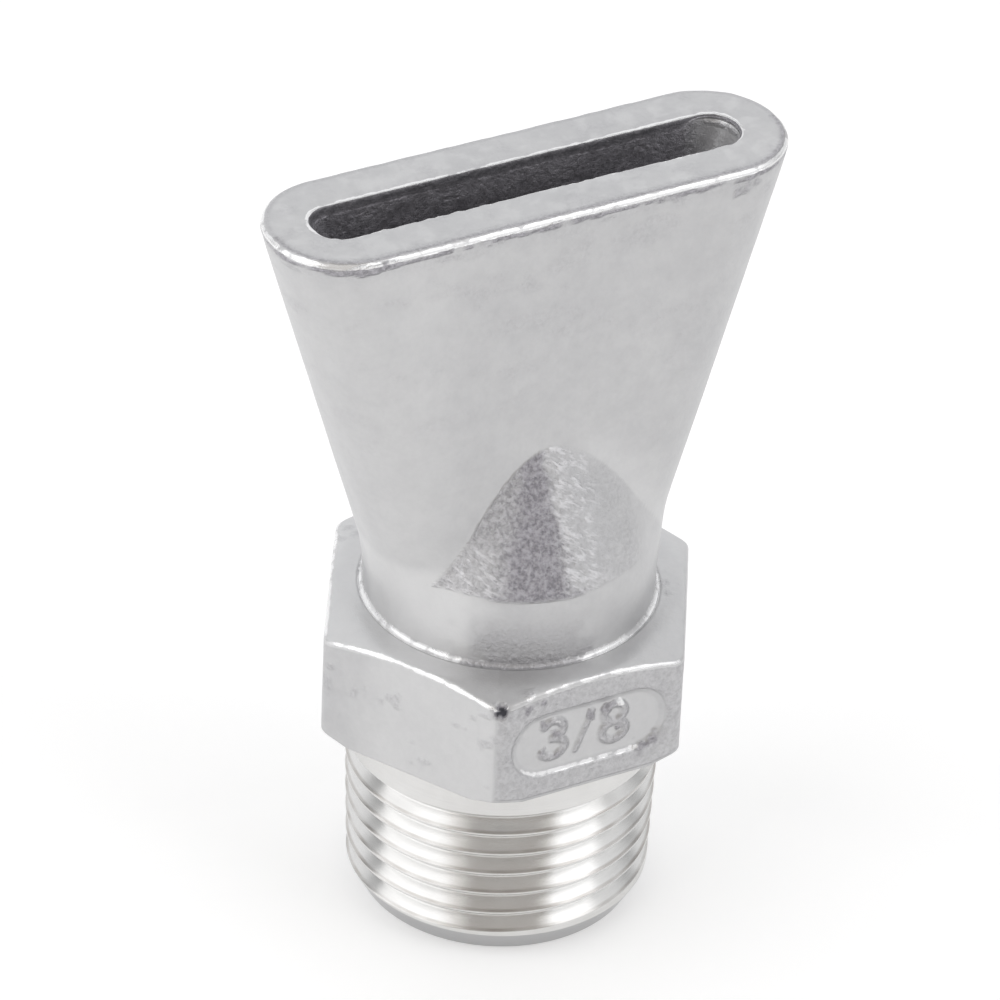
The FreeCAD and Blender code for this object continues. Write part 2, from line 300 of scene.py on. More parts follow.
def rounded_columns(end_columns, side_columns, corner_columns):
    """Columns round a rounded rectangle: two side factors and the outline's direction."""
    signs = [(1, -1), (1, 1), (-1, 1), (-1, -1)]
    across, along, facing = [], [], []
    for quarter in range(4):
        start, stop = np.array(signs[quarter]), np.array(signs[(quarter + 1) % 4])
        straight = end_columns if quarter % 2 == 0 else side_columns
        share = np.arange(straight) / straight
        across.append(lerp(start[0], stop[0], share))
        along.append(lerp(start[1], stop[1], share))
        facing.append(np.full(straight, quarter * math.pi / 2))
        share = np.arange(corner_columns) / corner_columns
        across.append(np.full(corner_columns, float(stop[0])))
        along.append(np.full(corner_columns, float(stop[1])))
        facing.append((quarter + share) * math.pi / 2)
    return np.concatenate(across), np.concatenate(along), np.concatenate(facing)


FAN_COLUMNS = rounded_columns(end_columns=3, side_columns=112, corner_columns=28)


def outline(length, width, radius):
    """A rounded rectangle about the axis, one point for each column."""
    across, along, facing = FAN_COLUMNS
    x = across * (length / 2 - radius) + radius * np.cos(facing)
    y = along * (width / 2 - radius) + radius * np.sin(facing)
    return x, y


def tapered_outline(root, mouth, radius, level, inset=0.0):
    """The outline of the fan or of its passage at a level, drawn in by inset."""
    share = (level - HEX_TOP) / (MOUTH - HEX_TOP)
    length = min(lerp(root[0], mouth[0], share), 2 * FAN_REACH) - 2 * inset
    width = lerp(root[1], mouth[1], share) - 2 * inset
    return outline(length, width, radius - inset)


def left_hand(x, y):
    """x as someone facing either flat side sees it: negative to their left."""
    return np.where(y < 0, x, -x)


def swell_radius(angle, level):
    """The collar and, above its shoulder, the cone that dies into the fan's flat sides."""
    rise = level - SHOULDER
    share = np.clip(rise / SWELL_RISE, 0, 1)
    cone = COLLAR_RADIUS - rise * SWELL_SLOPE + SWELL_BULGE * np.sin(math.pi * share)
    shift = -SWELL_SHIFT * share * np.where(np.sin(angle) < 0, 1, -1)
    centred = shift * np.cos(angle)
    reach = np.sqrt(np.maximum(cone * cone - (shift * np.sin(angle)) ** 2, 0)) + centred
    reach = np.where(cone > 0.3, reach, 0.0)
    side = left_hand(np.cos(angle), np.sin(angle))
    softness = lerp(0.25, 0.8, smooth_step(0.0, 0.7, np.abs(side + 0.15)))
    return smooth_min(np.full_like(angle, COLLAR_RADIUS), reach, softness)


def push_out(x, y, radius, softness):
    """Moves each point out along its own ray to at least that radius."""
    own = np.hypot(x, y)
    grown = smooth_max(own, radius, softness) / own
    return x * grown, y * grown


def swell_masks(points, proud):
    """Where the swell is still as cast, where it is darker (partly its own skin, partly painted shade),
    where bright streaks cross it, a painted highlight low on its left, and a painted shadow line at its
    foot.
    """
    hand, level = left_hand(points[..., 0], points[..., 1]), points[..., 2]
    ragged = 0.45 * noise(points, 0.8, seed=11) + 0.25 * noise(points, 0.3, seed=12)
    climb = (level - SHOULDER) / SWELL_MARKS_RISE
    ragged_foot = level - SHOULDER + 0.15 * ragged
    on_swell = smooth_step(0.0, 0.1, proud) * smooth_step(-0.3, -0.1, ragged_foot)

    ridge = lerp(-0.25, -0.65, climb)
    left_flank = smooth_step(ridge + 0.4, ridge - 0.4, hand + 0.9 * ragged)
    beside_ridge = 0.35 * smooth_step(2.0, 0.6, hand + 0.9 * ragged)
    # A faint skin on the right flank, darkening it as painted shade.
    right_flank_shade = lerp(0.34, 0.21, smooth_step(0.05, 0.45, climb)) * smooth_step(5.2, 3.6, hand)
    faint = np.maximum(beside_ridge, right_flank_shade)
    rough = on_swell * np.maximum(left_flank, faint)
    middle, half = lerp(-2.4, -1.3, climb), lerp(1.9, 0.5, climb)
    # Darker in the middle of the swell: partly the skin's own tone, partly painted shade.
    dark = rough * smooth_step(1.5, 0.5, np.abs(hand - middle) / half + 0.6 * ragged)

    to_right = smooth_step(-1.2, -0.5, hand + 0.4 * ragged)
    to_right = to_right * smooth_step(2.6, 0.8, hand + 0.9 * ragged)
    # A painted highlight low on the swell's left, laid on as bright streaks.
    low_left_highlight = smooth_step(-3.2, -4.4, hand + 0.6 * ragged) * smooth_step(0.55, 0.2, climb)
    rough = rough * (1 - 0.35 * low_left_highlight)
    streaks = on_swell * np.maximum(to_right, low_left_highlight)

    # A painted shadow line along the swell's foot.
    above_shoulder = level - SHOULDER + 0.12 * ragged
    foot = smooth_step(-0.4, -0.22, above_shoulder) * smooth_step(0.1, -0.1, above_shoulder)
    foot = foot * smooth_step(1.2, -0.4, hand + ragged) * smooth_step(-5.0, -3.8, hand + ragged)
    rough, dark = np.maximum(rough, 0.75 * foot), np.maximum(dark, foot)
    return {"rough": rough, "dark": dark, "streaks": streaks}


class Rings:
    """Rows of points round the axis, each with its masks."""

    def __init__(self):
        self.rows = []
        self.masks = {name: [] for name in MASKS}

    def add(self, x, y, z, **values):
        self.rows.append(level_row(x, y, z))
        for name, mask in self.masks.items():
            mask.append(np.broadcast_to(values.get(name, 0.0), x.shape))


def add_collar_foot(rings):
    """The collar's end inside the hexagon, and the fillet where it leaves the hexagon's top, with a
    painted highlight on it.
    """
    x, y = tapered_outline(FAN_ROOT, FAN_MOUTH, FAN_CORNER, HEX_TOP)
    angle = np.arctan2(y, x)
    foot = COLLAR_RADIUS + COLLAR_FOOT
    rings.add(foot * np.cos(angle), foot * np.sin(angle), HEX_TOP - FAN_OVERLAP)
    for turn in np.radians(np.linspace(0, 90, 8)):
        radius = foot - COLLAR_FOOT * math.sin(turn)
        level = HEX_TOP + COLLAR_FOOT * (1 - math.cos(turn))
        x, y = radius * np.cos(angle), radius * np.sin(angle)
        # A painted highlight and painted light on the fillet.
        rings.add(x, y, level, bright_edge=0.7, polished=0.4)


def body_polish_and_light(x, y, level, hand, proud):
    """How far the body's colour is lightened, partly polish and partly painted light: low down, as a
    painted highlight in the fillet beside the swell, and as painted light on the collar and fan to the
    left.
    """
    low = 0.35 * float(smooth_step(HEX_TOP + 2.6, HEX_TOP + 0.4, level))
    beside_swell = smooth_step(-2.6, -0.2, proud) * smooth_step(0.05, 0.0, proud)
    beside_swell = beside_swell * smooth_step(1.0, 2.0, hand)
    beside_swell = beside_swell * float(smooth_step(SWELL_TOP, SWELL_TOP - 2, level))
    this_end = smooth_step(1.8, 0.2, np.where(x < 0, y, -y))
    collar_left = smooth_step(3.8, 6.0, np.abs(x))
    collar_left = collar_left * float(smooth_step(SHOULDER + 1.5, SHOULDER, level))
    fan_left = smooth_step(4.5, 8.0, np.abs(x))
    to_left = this_end * np.maximum(collar_left, 0.35 * fan_left)
    return np.maximum(low, np.maximum(0.5 * beside_swell, to_left))


def add_body(rings):
    """The collar, the swell that dies into the fan's flat sides, and the fan up to its rim."""
    levels = np.concatenate([
        np.arange(HEX_TOP + COLLAR_FOOT + 0.12, SWELL_TOP, 0.12),
        np.linspace(SWELL_TOP + 0.1, MOUTH - 1.6, 36),
        np.linspace(MOUTH - 1.5, MOUTH - RIM_RADIUS, 16),
    ])
    for level in levels:
        x, y = tapered_outline(FAN_ROOT, FAN_MOUTH, FAN_CORNER, level)
        hand = left_hand(x, y)
        reach = swell_radius(np.arctan2(y, x), level)
        softness = lerp(0.12, 0.95, smooth_step(-0.5, 2.0, hand))
        softness = np.maximum(softness, 0.9 * smooth_step(-5.2, -6.6, hand))
        proud = reach - np.hypot(x, y)
        x, y = push_out(x, y, reach, softness)
        polished = body_polish_and_light(x, y, level, hand, proud)
        rings.add(x, y, level, polished=polished, **swell_masks(level_row(x, y, level), proud))


def add_rim(rings):
    """The mouth's rounded outer edge, with a painted highlight low down and darker on top."""
    for degrees in np.linspace(12, 90, RIM_ROWS):
        turn = math.radians(degrees)
        level = MOUTH - RIM_RADIUS + RIM_RADIUS * math.sin(turn)
        inset = RIM_RADIUS * (1 - math.cos(turn))
        x, y = tapered_outline(FAN_ROOT, FAN_MOUTH, FAN_CORNER, level, inset)
        # A painted highlight on the rim's lower part.
        bright = float(smooth_step(72, 52, degrees))
        darker_top = float(smooth_step(55, 85, degrees)) * np.where(y < 0, 1.0, 0.4)
        rings.add(x, y, level, bright_edge=bright, rough=0.7 * darker_top, dark=0.6 * darker_top)


def add_mouth(rings):
    """The mouth's flat face and the slot's rounded edge, with a painted highlight at its rim, strongest on
    the side away from the panel, and painted shade going down into the slot.
    """
    outer = tapered_outline(FAN_ROOT, FAN_MOUTH, FAN_CORNER, MOUTH, RIM_RADIUS)
    inner = tapered_outline(PASSAGE_ROOT, PASSAGE_MOUTH, PASSAGE_CORNER, MOUTH, -SLOT_EDGE)
    for share in np.linspace(0, 1, MOUTH_ROWS + 1)[1:]:
        x, y = lerp(outer[0], inner[0], share), lerp(outer[1], inner[1], share)
        darker_top = 0.3 * (share < 0.1) * (y < 0)
        # A painted highlight along the slot's rim, strongest on the far side.
        slot_rim_highlight = (share > 0.95) * lerp(0.3, 1.3, smooth_step(-1.0, 1.0, y))
        rings.add(x, y, MOUTH, rough=darker_top, bright_edge=slot_rim_highlight)
    for turn in np.radians(np.linspace(18, 90, SLOT_EDGE_ROWS)):
        level = MOUTH - SLOT_EDGE * (1 - math.cos(turn))
        inset = -SLOT_EDGE * (1 - math.sin(turn))
        x, y = tapered_outline(PASSAGE_ROOT, PASSAGE_MOUTH, PASSAGE_CORNER, level, inset)
        depth = math.sin(turn)
        # Painted highlight at the top of the slot's rounded edge, painted shade deeper in.
        bright = (1 - depth) * 2.2
        rings.add(x, y, level, rough=PASSAGE_SKIN * depth, dark=1.6 * depth, bright_edge=bright)


def add_passage(rings):
    """The passage below the slot, through its cone into the bore, in painted shade except at its +X end,
    which is painted lighter.
    """
    levels = np.concatenate([np.arange(MOUTH - 0.3, 42.0, -0.2), np.linspace(42, BORE_TOP, 40)])
    for level in levels:
        x, y = tapered_outline(PASSAGE_ROOT, PASSAGE_MOUTH, PASSAGE_CORNER, level)
        cone = BORE_RADIUS - (level - BORE_TOP) * SWELL_SLOPE
        # Painted shade down the passage, deepest just under the mouth, with painted light at its +X end
        # instead.
        dark = lerp(1.3, 1.75, float(smooth_step(MOUTH - 0.75, MOUTH - 0.25, level)))
        end = smooth_step(9.6, 11.4, x)
        x, y = push_out(x, y, np.full_like(x, max(cone, 0.0)), 0.3)
        skin = PASSAGE_SKIN * (1 - 0.85 * end)
        rings.add(x, y, level, rough=skin, dark=dark * (1 - end), polished=end)
    angle = np.arctan2(y, x)
    x, y = BORE_RADIUS * np.cos(angle), BORE_RADIUS * np.sin(angle)
    for level in (22.2, 20.5, HEX_TOP - FAN_OVERLAP):
        rings.add(x, y, level, rough=PASSAGE_SKIN)


def unevenly(points, mask):
    """Makes a bright edge, partly rubbed and partly a painted highlight, uneven along its length."""
    return mask * (0.8 + 0.5 * noise(points, 0.5, seed=21) + 0.35 * noise(points, 1.6, seed=22))


def fan_parts(row_count, mouth_start):
    """Which rows lie on which part of the fan, from the row where the mouth's face starts."""
    row = np.arange(row_count)[:, None]
    rim_start = mouth_start - RIM_ROWS
    slot_start = mouth_start + MOUTH_ROWS
    passage_start = slot_start + SLOT_EDGE_ROWS
    return {
        "outside": row < rim_start,
        "rim": (row >= rim_start) & (row <= mouth_start),
        "mouth": (row >= mouth_start) & (row < slot_start),
        "slot_edge": (row >= slot_start - 2) & (row < passage_start),
        "passage": row >= passage_start,
    }


def fan_relief(points, rough, on):
    """How far the fan's surface lies under its nominal form."""
    wrinkles = 1 - np.abs(noise(points, 0.5, seed=3)) * 2.5
    depth = cast_waviness(points)
    depth = depth + 0.05 * rough * on["outside"] * (1 + wrinkles)
    well_inside = on["passage"] * smooth_step(MOUTH - 0.3, 42.5, points[..., 2])
    depth = depth + 0.03 * well_inside * noise(points, 0.9, seed=4)
    depth = depth + 0.02 * on["below_rim"] * (1 + noise(points, 0.6, seed=5))
    depth = depth + 0.02 * on["rim"] * (1 + noise(points, 0.7, seed=9))
    torn = 1 + 0.6 * noise(points, 0.7, seed=7) + noise(points, 0.28, seed=23)
    return depth + 0.035 * on["slot_edge"] * torn


def rim_smudges_and_shadow(points, squeezed, on):
    """Smudges below the rim, and the torn painted shadow line along it, thicker near its left end."""
    x, y, z = points[..., 0], points[..., 1], points[..., 2]
    smudge = noise(squeezed, 1.1, seed=8) + 0.5 * noise(squeezed, 0.4, seed=13)
    below = on["below_rim"] * (0.2 + 0.45 * smooth_step(0.1, 0.7, smudge))
    near_side = lerp(0.5, 1.0, smooth_step(0.0, -1.0, y))
    tears = noise(points, 1.1, seed=25) + 0.5 * noise(points, 0.3, seed=26)
    torn = smooth_step(-0.5, 0.1, tears)
    to_left = smooth_step(-8.8, -10.2, x) * smooth_step(-13.6, -12.6, x)
    thickness = 0.12 + 0.12 * to_left * (1 + noise(points, 0.5, seed=28))
    # The painted shadow line below the rim.
    off_line = np.abs(z - MOUTH + RIM_SHADOW_LINE_DROP + 0.1 * noise(points, 0.6, seed=24))
    line = smooth_step(0.04, -0.04, off_line - thickness) * near_side * np.maximum(torn, to_left)
    return below, line


def foot_darkening(points, on):
    """A darker patch where the collar meets the hexagon on the panel's side, and a dimmer band above it.
    """
    angle = np.degrees(np.arctan2(points[..., 1], points[..., 0]))
    off_middle = np.abs(angle - FOOT_DARKENING_AT) + 9 * noise(points, 0.6, seed=17)
    in_reach = smooth_step(32, 14, off_middle) * on["outside"]
    darker_patch = in_reach * smooth_step(HEX_TOP + 1.1, HEX_TOP + 0.5, points[..., 2])
    dimmer_above_foot = in_reach * smooth_step(HEX_TOP + 3.6, HEX_TOP + 1.6, points[..., 2])
    return darker_patch, dimmer_above_foot


def fan_wear_and_painted_light(points, masks, on):
    """Adds smudges, the painted shadow line under the rim, the darker collar foot, patches, blotches,
    painted glints on the mouth and uneven bright edges to the fan's masks.
    """
    squeezed = points * np.array([1, 1, 2.5])
    below_rim, rim_shadow_line = rim_smudges_and_shadow(points, squeezed, on)
    darker_foot, dimmer_above_foot = foot_darkening(points, on)
    patchy = noise(squeezed, 2.4, seed=29) + 0.6 * noise(squeezed, 0.7, seed=30)
    patches = smooth_step(0.1, 0.8, patchy) * on["outside"]
    patches = patches * smooth_step(26.0, 40.0, points[..., 2])
    dull = noise(points, 0.9, seed=32) + 0.4 * noise(points, 0.3, seed=33)
    dull = on["mouth"] * smooth_step(0.1, 0.8, dull)
    # Painted glints on the mouth's face.
    mouth_glints = noise(points, 0.8, seed=34) + 0.5 * noise(points, 0.28, seed=35)
    mouth_glints = on["mouth"] * smooth_step(0.0, 0.7, mouth_glints)
    stains = stained(points, FAN_STAINS)
    masks["rough"] = np.maximum.reduce([
        masks["rough"], below_rim, 0.85 * rim_shadow_line, 0.4 * darker_foot, 0.2 * dimmer_above_foot,
        0.22 * patches, 0.2 * dull, 0.6 * stains])
    dark = masks["dark"] * (1 + 0.1 * on["passage"] * noise(points, 0.6, seed=31))
    masks["dark"] = np.maximum.reduce([dark, rim_shadow_line, 0.7 * dimmer_above_foot, 0.6 * stains])
    masks["polished"] = np.maximum(masks["polished"] * (1 - dimmer_above_foot), 0.4 * mouth_glints)
    masks["bright_edge"] = unevenly(points, masks["bright_edge"]) * (1 - 0.7 * darker_foot)


def make_fan():
    rings = Rings()
    add_collar_foot(rings)
    add_body(rings)
    add_rim(rings)
    mouth_start = len(rings.rows)
    add_mouth(rings)
    add_passage(rings)
    points = np.array(rings.rows)
    masks = {name: np.array(mask) for name, mask in rings.masks.items()}
    on = fan_parts(len(points), mouth_start)
    on["below_rim"] = smooth_step(MOUTH - 1.5, MOUTH - 0.4, points[..., 2]) * on["outside"]
    depth = fan_relief(points, masks["rough"], on)
    points = points - grid_normals(points) * depth[..., None]
    fan_wear_and_painted_light(points, masks, on)
    return ring_object("nozzle_fan", points, masks)


# Hexagon

def hexagon_columns():
    """Columns round the rounded hexagon: x and y of each, and 1 on the flat of the panel."""
    centre = (HEX_APOTHEM - HEX_CORNER_RADIUS) * 2 / math.sqrt(3)
    x, y, panel = [], [], []
    for side in range(6):
        middle = side * math.pi / 3
        for turn in np.radians(np.linspace(-30, 30, 9)):
            x.append(centre * math.cos(middle) + HEX_CORNER_RADIUS * math.cos(middle + turn))
            y.append(centre * math.sin(middle) + HEX_CORNER_RADIUS * math.sin(middle + turn))
            panel.append(0.0)
        is_panel = side == 4
        count = 150 if is_panel else 60
        out = middle + math.pi / 6
        edge = centre / 2
        for share in np.linspace(-1, 1, count + 2)[1:-1]:
            x.append(HEX_APOTHEM * math.cos(out) - share * edge * math.sin(out))
            y.append(HEX_APOTHEM * math.sin(out) + share * edge * math.cos(out))
            panel.append(1.0 if is_panel else 0.0)
    return np.array(x), np.array(y), np.array(panel)


def stroke_distance(x, z, path):
    """Distance from each point to a line drawn through the path's points."""
    nearest = np.full(x.shape, 1e9)
    for (x0, z0), (x1, z1) in zip(path, path[1:]):
        dx, dz = x1 - x0, z1 - z0
        share = np.clip(((x - x0) * dx + (z - z0) * dz) / (dx * dx + dz * dz), 0, 1)
        nearest = np.minimum(nearest, np.hypot(x - x0 - share * dx, z - z0 - share * dz))
    return nearest


def arc(centre, radii, start, stop, count=14):
    """Points of an ellipse's arc, from one angle in degrees to another."""
    turns = np.radians(np.linspace(start, stop, count))
    return [(centre[0] + radii[0] * math.cos(t), centre[1] + radii[1] * math.sin(t)) for t in turns]


def size_strokes():
    """The pipe size, three eighths, as plain strokes on the panel."""
    half = DIGIT_HEIGHT * 0.24
    upper, lower = DIGIT_LEVEL + half, DIGIT_LEVEL - half
    return [
        arc((THREE_AT, upper), (0.60, half), 150, -90),
        arc((THREE_AT, lower), (0.70, half), 90, -150),
        [(SLASH_AT - 0.45, DIGIT_LEVEL - 1.15), (SLASH_AT + 0.45, DIGIT_LEVEL + 1.1)],
        arc((EIGHT_AT, upper), (0.60, half), 0, 360, 24),
        arc((EIGHT_AT, lower), (0.70, half), 0, 360, 24),
    ]


def panel_recess(x, z):
    """How deep the panel's floor and the size on it lie under the flat, and where the size is."""
    length, width = PANEL
    end = np.clip(np.abs(x) - (length - width) / 2, 0, None)
    inside = width / 2 - np.hypot(end, z - PANEL_LEVEL)
    floor = PANEL_DEPTH * smooth_step(-0.2, 0.55, inside)
    strokes = np.full(x.shape, 1e9)
    for path in size_strokes():
        thinner = SLASH_THINNER if len(path) == 2 else 0.0
        strokes = np.minimum(strokes, stroke_distance(x, z, path) + thinner)
    raised = smooth_step(DIGIT_STROKE + 0.2, DIGIT_STROKE - 0.16, strokes)
    return floor - DIGIT_RELIEF * raised, raised


def rounded_corner(before, corner, after, setback, count=6):
    """Points that turn from one straight run to the next, setback from the corner."""
    def towards(end):
        way = end - corner
        length = np.linalg.norm(way, axis=-1, keepdims=True)
        reach = np.minimum(setback, 0.45 * length)
        return corner + way / np.maximum(length, 1e-9) * reach

    start, stop = towards(before), towards(after)
    rows = []
    for t in np.linspace(0, 1, count):
        rows.append(start * (1 - t) ** 2 + 2 * corner * t * (1 - t) + stop * t * t)
    return rows


def hexagon_rows(x, y):
    """The hexagon's rows, and the rows where its sides start, its upper edge starts and its top ends."""
    radius = np.hypot(x, y)
    cos, sin = x / radius, y / radius

    def ring(reach, level):
        reach = np.broadcast_to(reach, x.shape)
        return level_row(reach * cos, reach * sin, level)

    hidden = COLLAR_RADIUS + 0.15
    foot_level = HEX_BOTTOM + np.clip(radius - FOOT_LAND, 0, None) * FOOT_SLOPE
    top_level = HEX_TOP - np.clip(radius - TOP_LAND, 0, None) * TOP_SLOPE
    foot_land = np.minimum(radius - 0.02, FOOT_LAND)
    foot_ring, foot_edge = ring(foot_land, HEX_BOTTOM), ring(radius, foot_level)
    top_edge, top_ring = ring(radius, top_level), ring(TOP_LAND, HEX_TOP)
    under, over = ring(hidden, HEX_BOTTOM), ring(hidden, HEX_TOP)
    upper_edge = rounded_corner(foot_edge, top_edge, top_ring, 0.2)
    land_edge = rounded_corner(top_edge, top_ring, over, 0.8)

    rows = [ring(hidden, HEX_BOTTOM + THREAD_OVERLAP), under]
    rows += rounded_corner(under, foot_ring, foot_edge, 0.1, 3)
    rows += rounded_corner(foot_ring, foot_edge, top_edge, 0.14, 5)
    sides_start, low = len(rows), rows[-1]
    rows += [lerp(low, upper_edge[0], share) for share in np.linspace(0, 1, 92)[1:-1]]
    edge_start = len(rows)
    rows += upper_edge
    rows += [lerp(upper_edge[-1], land_edge[0], share) for share in (0.15, 0.3, 0.5, 0.75)]
    rows += land_edge
    rows += [lerp(land_edge[-1], over, share) for share in (0.33, 0.67, 1.0)]
    top_end = len(rows)
    rows += [ring(hidden, HEX_TOP - FAN_OVERLAP), ring(BORE_RADIUS, HEX_TOP - FAN_OVERLAP)]
    rows += [ring(BORE_RADIUS, level) for level in (17.0, 15.0, 13.0, HEX_BOTTOM + THREAD_OVERLAP)]
    return np.array(rows), sides_start, edge_start, top_end


def hexagon_polish_and_light(points, masks, panel, on_edge, top):
    """Painted light on the top and on the left flat, and the bright edge between them, partly rubbed and
    partly a painted highlight.
    """
    x, y = points[..., 0], points[..., 1]
    # Painted light on the top, stronger towards -X, and on the left flat.
    masks["polished"][top] = lerp(0.4, 0.75, smooth_step(-4.0, -8.0, x[top]))
    left_flat = np.abs(np.degrees(np.arctan2(y, x)) - LEFT_FLAT_AT) < 29
    left_flat = left_flat * smooth_step(-10.2, -8.6, x)
    masks["polished"] = np.maximum(masks["polished"], 0.6 * left_flat)
    panel_edge = 0.85 * smooth_step(-4.6, -3.4, x + 0.5 * noise(points, 0.4, seed=18))
    far_right = (y < 0) * smooth_step(5.2, 5.5, x)
    other_edge = smooth_step(-10.8, -10.4, x) * (1 - 0.9 * far_right)
    masks["bright_edge"] = on_edge * np.where(panel > 0, panel_edge, other_edge)


def panel_wear_and_painted_light(side, masks, panel, recess, raised):
    """Cast skin round the panel and on its size, a painted highlight along its wall's lower line, painted
    glints, and stains mixed with painted shade.
    """
    x, y, z = side[..., 0], side[..., 1], side[..., 2]
    wall = panel * smooth_step(0.05, 0.11, recess) * smooth_step(0.22, 0.16, recess)
    # A painted highlight along the lower part of the panel's wall, and painted glints on the figures'
    # tops.
    lower_wall_highlight = (raised < 0.05) * smooth_step(3.9, 3.2, np.abs(x + 0.5)) * (z < PANEL_LEVEL - 1.2)
    masks["bright_edge"] += 0.74 * wall * lower_wall_highlight
    masks["bright_edge"] += 0.6 * panel * stained(side, PANEL_GLINTS)
    masks["polished"] += 0.3 * panel * smooth_step(0.2, 0.24, recess)
    on_flat = smooth_step(-9.25, -9.35, y + recess * panel)
    on_corner = smooth_step(5.0, 5.3, x) * smooth_step(-5.0, -8.5, y)
    frame = np.maximum(on_flat, on_corner) * smooth_step(0.2, 0.02, recess * panel)
    frame_skin = 0.46 * frame * (1 + 0.25 * noise(side, 0.7, seed=10))
    size_skin = panel * raised * (0.7 + 0.25 * noise(side, 0.4, seed=19))
    # Stains, with painted shade beside the raised figures.
    stains = panel * stained(side, PANEL_STAINS_AND_SHADE)
    masks["rough"][:] = np.maximum.reduce([frame_skin, size_skin, 0.85 * stains])
    masks["dark"][:] = 0.9 * stains


def make_hexagon():
    x, y, panel = hexagon_columns()
    points, sides_start, edge_start, top_end = hexagon_rows(x, y)
    from_edge = np.linalg.norm(points - points[edge_start + 3], axis=-1)
    on_edge = smooth_step(0.25, 0.04, from_edge)
    nick = stained(points, [NICK])
    depth = cast_waviness(points) + 0.015 * on_edge * (1 + noise(points, 0.5, seed=6))
    depth = depth + NICK_DEPTH * nick
    points = points - grid_normals(points) * depth[..., None]
    side = points[sides_start:edge_start]
    recess, raised = panel_recess(side[..., 0], side[..., 2])
    side[..., 1] += panel * recess

    masks = {name: np.zeros(points.shape[:2]) for name in MASKS}
    hexagon_polish_and_light(points, masks, panel, on_edge, slice(edge_start, top_end))
    side_masks = {name: mask[sides_start:edge_start] for name, mask in masks.items()}
    panel_wear_and_painted_light(side, side_masks, panel, recess, raised)
    smudge = noise(points, 1.8, seed=14) + 0.7 * noise(points, 0.45, seed=15)
    smudge = 0.4 * smooth_step(0.65, 1.15, smudge) * (1 - on_edge)
    masks["rough"] = np.maximum.reduce([masks["rough"], smudge, nick])
    # The knock's dent is coloured black as painted shade.
    masks["dark"] = np.maximum(masks["dark"], 2 * nick)
    masks["bright_edge"] = unevenly(points, masks["bright_edge"]) * (1 - nick)
    return ring_object("nozzle_hexagon", points, masks)


# Threaded end

def groove_depth(level, angle):
    """How deep the helical thread is cut at a level and angle, run out below the neck."""
    helix = (angle - FRONT) / (2 * math.pi)
    turns = (level - FIRST_CREST) / PITCH - helix
    off_crest = np.abs(turns - np.round(turns)) * PITCH
    off_root = PITCH / 2 - off_crest

    def arc_depth(distance):
        return THREAD_ROUND - np.sqrt(np.clip(THREAD_ROUND ** 2 - distance ** 2, 0, None))

    depth = BEND_DEPTH + (off_crest - BEND) * math.tan(FLANK)
    depth = np.where(off_crest < BEND, arc_depth(off_crest), depth)
    depth = np.where(off_root < BEND, THREAD_DEPTH - arc_depth(off_root), depth)
    groove_turn = np.floor(turns) + helix
    depth = depth * smooth_step(FIRST_TURN - 0.15, FIRST_TURN + 0.15, groove_turn)
    beyond = groove_turn - LAST_FULL_TURN
    return np.clip(depth - RUN_OUT_SLOPE * np.clip(beyond, 0, None), 0, None)


def crest_line(level, angle):
    """1 along the thin dark line just above each crest, partly dirt and partly painted shade."""
    turns = (level - FIRST_CREST) / PITCH - (angle - FRONT) / (2 * math.pi)
    above = (turns - np.floor(turns)) * PITCH
    line = smooth_step(0.02, 0.08, above) * smooth_step(0.2, 0.13, above)
    line = line * smooth_step(-0.3, 0.2, turns)
    return line * smooth_step(LAST_FULL_TURN + 0.6, LAST_FULL_TURN, turns)


def crest_radius(level):
    """Radius over the crests, which widens evenly to the thread's end and then stays."""
    return GAUGE_RADIUS + (min(level, THREAD_END) - GAUGE_LEVEL) / TAPER


def thread_rows(angle, end_radius, lead_slope):
    """Rows up the outside of the threaded end and neck, and back down the bore."""
    def ring(reach, level):
        reach = np.broadcast_to(reach, angle.shape)
        return level_row(reach * np.cos(angle), reach * np.sin(angle), level)

    inlet = BORE_RADIUS + INLET_CHAMFER
    rows = [ring(inlet, 0.0), ring(lerp(inlet, end_radius, 0.5), 0.0),
            ring(end_radius - 0.08, 0.0), ring(end_radius, 0.03)]
    threaded = np.arange(0.08, RUN_OUT_TOP, THREAD_ROW)
    plain = np.append(np.linspace(RUN_OUT_TOP, HEX_BOTTOM, 12), HEX_BOTTOM + THREAD_OVERLAP)
    for level in np.concatenate([threaded, plain]):
        outer = np.full(angle.shape, min(crest_radius(level), end_radius + level * lead_slope))
        cut = crest_radius(level) - groove_depth(level, angle)
        rows.append(ring(smooth_min(outer, cut, 0.02), level))
    rows += [ring(BORE_RADIUS, HEX_BOTTOM + THREAD_OVERLAP)]
    rows += [ring(BORE_RADIUS, level) for level in (9.0, 6.0, 3.0, INLET_CHAMFER + 0.05)]
    rows += [ring(BORE_RADIUS + 0.05, INLET_CHAMFER), ring(inlet - 0.05, 0.05)]
    return np.array(rows)


